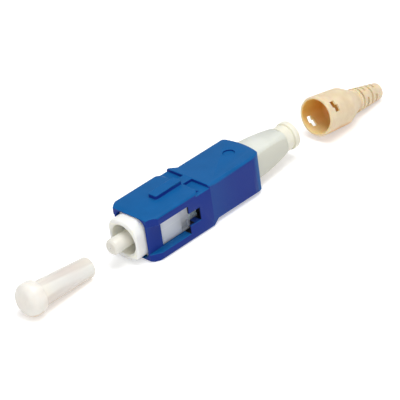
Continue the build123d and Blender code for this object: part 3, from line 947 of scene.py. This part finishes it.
cap_neck = CAP_LENGTH - CAP_BULB_LENGTH
cap_shape = turned(
    [
        (CAP_BORE_DEPTH, 0, 0),
        (CAP_BORE_DEPTH, CAP_BORE_RADIUS, 0.3),
        (0, CAP_BORE_RADIUS, 0.08),
        (0, CAP_MOUTH_RADIUS, CAP_MOUTH_ROUND),
        (cap_neck, CAP_SLEEVE_RADIUS, 0.15),
        (cap_neck, CAP_BULB_RADIUS, CAP_SHOULDER_ROUND),
        (CAP_LENGTH, CAP_BULB_RADIUS, CAP_END_ROUND),
        (CAP_LENGTH, 0, 0),
    ],
    closed=False,
)
reach = Vector((
    cap_neck + CAP_SHOULDER_ROUND - CAP_MOUTH_ROUND,
    CAP_BULB_RADIUS - CAP_SHOULDER_ROUND - CAP_MOUTH_RADIUS,
))
cap_tilt = math.atan2(reach.y, reach.x) + math.asin(CAP_SHOULDER_ROUND / reach.length)
to_bulb = CAP_LENGTH - CAP_BULB_LENGTH / 2
cap_mouth = CAP_BULB_PLACE - to_bulb * Vector((math.cos(CAP_HEADING), math.sin(CAP_HEADING)))
cap_place = lying(cap_shape, -cap_tilt, CAP_HEADING, cap_mouth)
dust_cap = as_piece(cap_shape, "milky_dust_cap", cap_place, "housing", "dust_cap")

# %% [markdown]
# Milky polyethylene glows a little, because light spreads far under its surface. Real transmission
# would show the bore through it, but it renders slowly and turns grey in a plain studio. So light
# is let in deep, and faint streaks run along the sleeve: the flow of the plastic, and painted light
# where the bore would show through. The thin mouth is painted a warm glow, as light through it, and
# the underside a warm painted shade. The thick round end is painted greyer, as shade, and the
# streaks fade out there.

# %% Milky plastic
STREAK_STRETCH = 14.0
STREAK_MM = 1.1
STREAK_DARK = (0.87, 0.835, 0.82)
STREAK_FLOW_AND_PAINTED_LIGHT = (1.06, 1.05, 1.02)
STREAKS_IN_BULB = 0.15
BULB_FADE = 1.0
CAP_MOUTH_PAINTED_GLOW = (0.99, 0.97, 0.89)
CAP_SLEEVE_TINT = (0.94, 0.89, 0.86)
CAP_BULB_PAINTED_SHADE = (0.90, 0.895, 0.865)
PAINTED_CAP_UNDERSIDE_SHADE = (0.88, 0.66, 0.42)


def paint_cap_streaks_and_shading(material, place):
    """Streaks along the cap, partly painted light, a painted warm mouth, and a greener painted
    shade on the round end.
    """
    tree, shader, plain = base_colour(material)
    streaks = fine_noise(tree, along(tree, place, STREAK_STRETCH), STREAK_MM, 1)
    streaked = shade_ramp(tree, streaks, STREAK_DARK, STREAK_FLOW_AND_PAINTED_LIGHT, 0.4, 0.6)
    parts = tree.nodes.new("ShaderNodeSeparateXYZ")
    tree.links.new(along(tree, place), parts.inputs[0])
    from_mouth = parts.outputs["X"]
    fade_end = (cap_neck + BULB_FADE) * MM
    fade = mapped(tree, from_mouth, cap_neck * MM, fade_end, 1.0, STREAKS_IN_BULB)
    drawn = mixed(tree, "MULTIPLY", fade, plain, streaked)
    share = mapped(tree, from_mouth, 0.0, CAP_LENGTH * MM)
    ramp = tree.nodes.new("ShaderNodeValToRGB")
    stops = ramp.color_ramp.elements
    stops[0].position = 0.03
    stops[0].color = (*CAP_MOUTH_PAINTED_GLOW, 1.0)
    stops[1].position = 0.9
    stops[1].color = (*CAP_BULB_PAINTED_SHADE, 1.0)
    stops.new(0.3).color = (*CAP_SLEEVE_TINT, 1.0)
    tree.links.new(share, ramp.inputs["Fac"])
    colour = mixed(tree, "MULTIPLY", 1.0, drawn, ramp.outputs["Color"])
    tree.links.new(colour, shader.inputs["Base Color"])


milky_plastic = moulded_plastic(
    "cap_milky",
    pale=(0.99, 0.965, 0.935),
    deep=(0.98, 0.945, 0.905),
    roughness=0.24,
    cloud_mm=3,
    grain_mm=0.15,
    grain_depth_mm=0.003,
)
let_light_in(milky_plastic, weight=0.75, depth_mm=1.5, colour=(1.0, 0.93, 0.86))
paint_cap_streaks_and_shading(milky_plastic, cap_place)
# The faces that look down get a painted warm shade.
paint_shading_by_facing(milky_plastic, PAINTED_CAP_UNDERSIDE_SHADE, 0.8, -0.45, -0.8)
dress(dust_cap, milky_plastic)
print("cap leans by", round(math.degrees(cap_tilt), 1), "degrees")

# %% [markdown]
# The boot is a soft beige elastomer. Its wide barrel snaps over the collar through two stepped
# slots, and its tail is slit from alternate sides so that it bends but keeps the cable from a
# sharp bend. The body is turned. The slots can't be turned, so they are cut out with boolean boxes.

# %% Boot body
BOOT_LENGTH = 15.3
MOUTH_RADIUS = 6.55 / 2
BARREL_LENGTH = 5.9
BARREL_RADIUS = 6.2 / 2
BOOT_BORE_RADIUS = 5.6 / 2
BOOT_BORE_DEPTH = 5.0
BOOT_CONE_DEPTH = 2.4
CABLE_RADIUS = 1.1 / 2
NECK_AT = 8.9
NECK_RADIUS = 3.65 / 2
TAIL_RADIUS = 4.05 / 2
SLIT_WIDTH = 0.42
BOOT_END_RADIUS = 2.75 / 2
RIM_BEVEL = 0.2

boot_shape = turned(
    [
        (0, BOOT_BORE_RADIUS, 0.12),
        (0, MOUTH_RADIUS, RIM_BEVEL),
        (BARREL_LENGTH, BARREL_RADIUS, 0.7),
        (NECK_AT, NECK_RADIUS, 0.3),
        (NECK_AT + SLIT_WIDTH, NECK_RADIUS, 0.05),
        (NECK_AT + SLIT_WIDTH, TAIL_RADIUS, 0.08),
        (BOOT_LENGTH, BOOT_END_RADIUS, RIM_BEVEL),
        (BOOT_LENGTH, CABLE_RADIUS, 0.1),
        (BOOT_BORE_DEPTH + BOOT_CONE_DEPTH, CABLE_RADIUS, 0.3),
        (BOOT_BORE_DEPTH, BOOT_BORE_RADIUS, 0.5),
    ],
    closed=True,
)
print("boot body:", len(boot_shape.faces), "faces before its slots are cut")

# %% [markdown]
# Each cutter is a cube, scaled and turned about the boot's axis. The two boxes of the snap slot go
# right through both walls and overlap, with one further back, which gives the slot its step. The
# slits of the tail go in from two sides down to a web in the middle, turned by a quarter each time.

# %% Boot cutters
BOOT_TURN = math.radians(51)
QUARTER = math.radians(90)
SNAP_AT = 0.95
SNAP_LENGTH = 1.05
SNAP_WIDTH = 1.1
SNAP_STEP = 0.35
THROUGH = 14.0
SLIT_COUNT = 4
FIRST_SLIT = 9.9
SLIT_PITCH = 1.2
BOOT_WEB = 1.15
SLIT_DEPTH = 2 * TAIL_RADIUS


def cutter_box(centre, size, turn):
    """A box to cut with, turned about the boot's axis, in millimetres."""
    shape = bmesh.new()
    bmesh.ops.create_cube(shape, size=MM)
    bmesh.ops.scale(shape, vec=size, verts=shape.verts)
    bmesh.ops.translate(shape, vec=Vector(centre) * MM, verts=shape.verts)
    bmesh.ops.rotate(
        shape, cent=(0, 0, 0), matrix=Matrix.Rotation(turn, 3, "X"), verts=shape.verts
    )
    mesh = bpy.data.meshes.new("boot_cutter")
    shape.to_mesh(mesh)
    shape.free()
    return bpy.data.objects.new("boot_cutter", mesh)


snap_side = (SNAP_WIDTH - SNAP_STEP) / 2
snap_size = (SNAP_LENGTH, SNAP_WIDTH, THROUGH)
cutters = [
    cutter_box((start + SNAP_LENGTH / 2, side, 0), snap_size, BOOT_TURN)
    for start, side in ((SNAP_AT, snap_side), (SNAP_AT + SNAP_STEP, -snap_side))
]
slit_size = (SLIT_WIDTH, 2 * SLIT_DEPTH, SLIT_DEPTH)
for index in range(SLIT_COUNT):
    turned_by = BOOT_TURN + QUARTER * (index % 2)
    slit_place = (FIRST_SLIT + index * SLIT_PITCH, 0, (BOOT_WEB + SLIT_DEPTH) / 2)
    for side in (0, math.pi):
        cutters.append(cutter_box(slit_place, slit_size, turned_by + side))
print("boot cutters:", len(cutters))

# %% [markdown]
# A boolean modifier for each cutter does the cutting. Exact booleans are slow but leave clean
# corners, and the result is read back into the bmesh, so nothing live is left on the boot. The
# boot lies on its rim and on the end of its tail, and its place is taken before it is cut.

# %% Cutting the boot
CUT_MERGE = 0.002 * MM
BOOT_HEADING = math.radians(182.7)
BOOT_MOUTH = (-34.9, 0.45)


def cut(shape, tools):
    """The bmesh with the tools cut out of it by exact booleans."""
    mesh = bpy.data.meshes.new("uncut")
    shape.to_mesh(mesh)
    body = bpy.data.objects.new("uncut", mesh)
    bpy.context.scene.collection.objects.link(body)
    for tool in tools:
        bpy.context.scene.collection.objects.link(tool)
        step = body.modifiers.new("cut", "BOOLEAN")
        step.operation = "DIFFERENCE"
        step.solver = "EXACT"
        step.object = tool
    finished = body.evaluated_get(bpy.context.evaluated_depsgraph_get())
    result = bpy.data.meshes.new_from_object(finished)
    shape.clear()
    shape.from_mesh(result)
    for thing in [body, *tools]:
        bpy.data.meshes.remove(thing.data)
    bpy.data.meshes.remove(result)
    return shape


tail_slope = math.atan2(
    BARREL_RADIUS - BOOT_END_RADIUS, BARREL_LENGTH - (BOOT_LENGTH - RIM_BEVEL)
)
boot_place = lying(boot_shape, math.pi - tail_slope, BOOT_HEADING, BOOT_MOUTH)
boot_shape = cut(boot_shape, cutters)
bmesh.ops.remove_doubles(boot_shape, verts=boot_shape.verts, dist=CUT_MERGE)
boot = as_piece(boot_shape, "strain_relief_boot", boot_place, "housing", "boot")

# %% [markdown]
# From outside the elastomer is a light cream with faint cloudy mottling. Inside the barrel the
# light bounces between the walls many times, and each bounce takes out more blue, so the bore
# looks orange and then brown. The plastic is thin there, too, and light comes through the wall.
# So this light is painted into the colour, which follows the distance from the boot's own axis and
# the depth from its mouth, both taken through the Mapping node that turns the coordinates along the
# boot. The wall that looks up is painted lighter, as lit.

# %% Colour in the bore
BORE_EDGE = (0.05, 0.2)
BORE_LOOKS_UP = (0.1, 0.9)
BORE_NEAR = (0.80, 0.50, 0.13)
BORE_FAR = (0.84, 0.46, 0.08)
BORE_PAINTED_LIT_BOTTOM = (0.95, 0.74, 0.38)
BORE_END = BOOT_BORE_DEPTH + BOOT_CONE_DEPTH
CONE_SLOPE = (BOOT_BORE_RADIUS - CABLE_RADIUS) / BOOT_CONE_DEPTH


def colour_the_bore(material, place):
    """The bore's wall goes from near to far with its depth, and is painted lighter where it looks
    up, as lit.
    """
    tree, shader, outside = base_colour(material)
    parts = tree.nodes.new("ShaderNodeSeparateXYZ")
    tree.links.new(along(tree, place), parts.inputs[0])
    from_mouth = parts.outputs["X"]
    across = tree.nodes.new("ShaderNodeCombineXYZ")
    tree.links.new(parts.outputs["Y"], across.inputs["Y"])
    tree.links.new(parts.outputs["Z"], across.inputs["Z"])
    radius = tree.nodes.new("ShaderNodeVectorMath")
    radius.operation = "LENGTH"
    tree.links.new(across.outputs[0], radius.inputs[0])

    past_barrel = maths(tree, "SUBTRACT", from_mouth, BOOT_BORE_DEPTH * MM)
    in_cone = maths(tree, "MAXIMUM", past_barrel, 0.0)
    widened = maths(tree, "MULTIPLY_ADD", in_cone, CONE_SLOPE, radius.outputs["Value"])
    start, end = ((BOOT_BORE_RADIUS + edge) * MM for edge in BORE_EDGE)
    inside = mapped(tree, widened, start, end, 1.0, 0.0)
    in_bore = maths(tree, "LESS_THAN", from_mouth, BORE_END * MM)
    share = maths(tree, "MULTIPLY", inside, in_bore)

    deeper = mapped(tree, from_mouth, 0.0, BORE_END * MM)
    bore = shade_ramp(tree, deeper, BORE_NEAR, BORE_FAR, 0.0, 0.8)
    upward = mapped(tree, facing_along(tree, "Z"), *BORE_LOOKS_UP)
    bore = mixed(tree, "MIX", upward, bore, (*BORE_PAINTED_LIT_BOTTOM, 1.0))
    colour = mixed(tree, "MIX", share, outside, bore)
    tree.links.new(colour, shader.inputs["Base Color"])


print("bore is coloured down to", BORE_END, "mm")

# %% Boot elastomer
PAINTED_BOOT_UNDERSIDE_SHADE = (0.78, 0.42, 0.12)

elastomer = moulded_plastic(
    "boot_beige",
    pale=(0.87, 0.735, 0.52),
    deep=(0.77, 0.62, 0.41),
    roughness=0.45,
    cloud_mm=1.6,
    grain_mm=0.2,
    grain_depth_mm=0.004,
)
let_light_in(elastomer, weight=0.5, depth_mm=0.7, colour=(1.0, 0.6, 0.25))
# The faces that look down get a painted warm shade.
paint_shading_by_facing(elastomer, PAINTED_BOOT_UNDERSIDE_SHADE, 0.85, -0.4, -0.75)
colour_the_bore(elastomer, boot_place)
dress(boot, elastomer)
print("boot wears", elastomer.name)

# %% [markdown]
# The pieces inside the plug keep their CAD shape, because they only show when the model is taken
# apart. They still get true finishes: grey moulded plastic for the holder, pale plastics for the
# splice halves and the guide tube, and clear glass for the fibre. A row names the nodes and the
# material, then gives its two shades, its roughness, and the sizes of its clouds, grain and depth
# of grain.

# %% Plastics and glass inside the plug
GLASS_TRANSMISSION = 0.8
INSIDE_PIECES = (
    (("ferrule_holder",), "holder_grey",
     (0.60, 0.60, 0.57), (0.52, 0.52, 0.50), 0.45, 3, 0.1, 0.002),
    (("splice_plate", "splice_groove"), "splice_pale",
     (0.80, 0.80, 0.77), (0.74, 0.74, 0.70), 0.4, 2, 0.08, 0.001),
    (("lead_in_tube",), "tube_pale",
     (0.80, 0.78, 0.68), (0.74, 0.72, 0.62), 0.35, 2, 0.08, 0.001),
    (("fibre_stub",), "fibre_glass",
     (0.95, 0.97, 0.98), (0.90, 0.93, 0.95), 0.08, 1, 0.02, 0.0001),
)

nodes = frame["nodes"]
for names, finish, *look in INSIDE_PIECES:
    plastic = moulded_plastic(finish, *look)
    for name in names:
        dress(nodes[name], plastic)
clear_glass = nodes["fibre_stub"].material_slots[0].material
glass_shader = clear_glass.node_tree.nodes["Principled BSDF"]
glass_shader.inputs["Transmission Weight"].default_value = GLASS_TRANSMISSION
print("inside finishes:", ", ".join(row[1] for row in INSIDE_PIECES))

# %% [markdown]
# The splice clamp is bent from rolled steel, and the spring is wound from drawn wire. Rolling and
# drawing both leave fine streaks along the metal, so one helper serves both: noise that is drawn
# out along X darkens the metal a little and breaks up its gloss.

# %% Metal
METAL_STRETCH = (0.1, 1.0, 1.0)
METAL_SPREAD = 0.3
METAL_DETAIL = 4


def drawn_metal(name, colour, dark, roughness, streak_mm):
    """Bright metal with fine streaks along X, the way it was drawn or rolled."""
    material = bpy.data.materials.new(name)
    material.use_nodes = True
    tree = material.node_tree
    shader = tree.nodes["Principled BSDF"]
    stretch = tree.nodes.new("ShaderNodeMapping")
    stretch.inputs["Scale"].default_value = METAL_STRETCH
    where = tree.nodes.new("ShaderNodeTexCoord").outputs["Object"]
    tree.links.new(where, stretch.inputs["Vector"])
    streaks = fine_noise(tree, stretch.outputs[0], streak_mm, METAL_DETAIL)
    tree.links.new(shade_ramp(tree, streaks, dark, colour), shader.inputs["Base Color"])
    break_the_gloss(tree, shader, streaks, roughness, METAL_SPREAD)
    shader.inputs["Metallic"].default_value = 1.0
    return material


clamp_steel = drawn_metal("clamp_steel", (0.62, 0.61, 0.6), (0.5, 0.5, 0.5), 0.3, 0.2)
dress(nodes["splice_clamp"], clamp_steel)
print("clamp wears", clamp_steel.name)

# %% [markdown]
# A coil spring sits round the holder, between the rear body and the ferrule's flange. It is one
# round wire wound at an even pitch. A Screw modifier could wind it, but a bmesh spin gives the
# mesh at once: a small circle is spun about the axis and moved along it a little at each step.

# %% Coil spring
SPRING_WIRE = 0.4
SPRING_TURNS = 5
WIRE_SIDES = 12
STEPS_PER_TURN = 36

spring_low, spring_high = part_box("spring")
SPRING_LENGTH = (spring_high.x - spring_low.x) / MM
COIL_RADIUS = (spring_high.z - spring_low.z) / 2 / MM - SPRING_WIRE / 2
steps = SPRING_TURNS * STEPS_PER_TURN
spring_shape = bmesh.new()
bmesh.ops.create_circle(
    spring_shape, cap_ends=True, segments=WIRE_SIDES, radius=SPRING_WIRE / 2 * MM
)
wire_start = Matrix.Translation((SPRING_WIRE / 2 * MM, 0, COIL_RADIUS * MM))
upright = wire_start @ Matrix.Rotation(math.radians(90), 4, "X")
bmesh.ops.transform(spring_shape, matrix=upright, verts=spring_shape.verts)
bmesh.ops.spin(
    spring_shape,
    geom=spring_shape.verts[:] + spring_shape.edges[:] + spring_shape.faces[:],
    cent=(0, 0, 0),
    axis=(1, 0, 0),
    dvec=((SPRING_LENGTH - SPRING_WIRE) / steps * MM, 0, 0),
    angle=math.tau * SPRING_TURNS,
    steps=steps,
)
bmesh.ops.recalc_face_normals(spring_shape, faces=spring_shape.faces)
spring_place = Matrix.Translation((spring_low.x, 0, AXIS_Z))
coil_spring = as_piece(spring_shape, "coil_spring", spring_place, "plug", "spring")
dress(coil_spring, drawn_metal("spring_wire", (0.6, 0.6, 0.6), (0.45, 0.45, 0.46), 0.25, 0.15))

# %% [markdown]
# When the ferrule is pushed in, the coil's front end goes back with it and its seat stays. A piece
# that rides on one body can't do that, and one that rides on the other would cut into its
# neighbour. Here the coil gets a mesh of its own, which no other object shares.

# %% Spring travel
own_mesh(coil_spring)
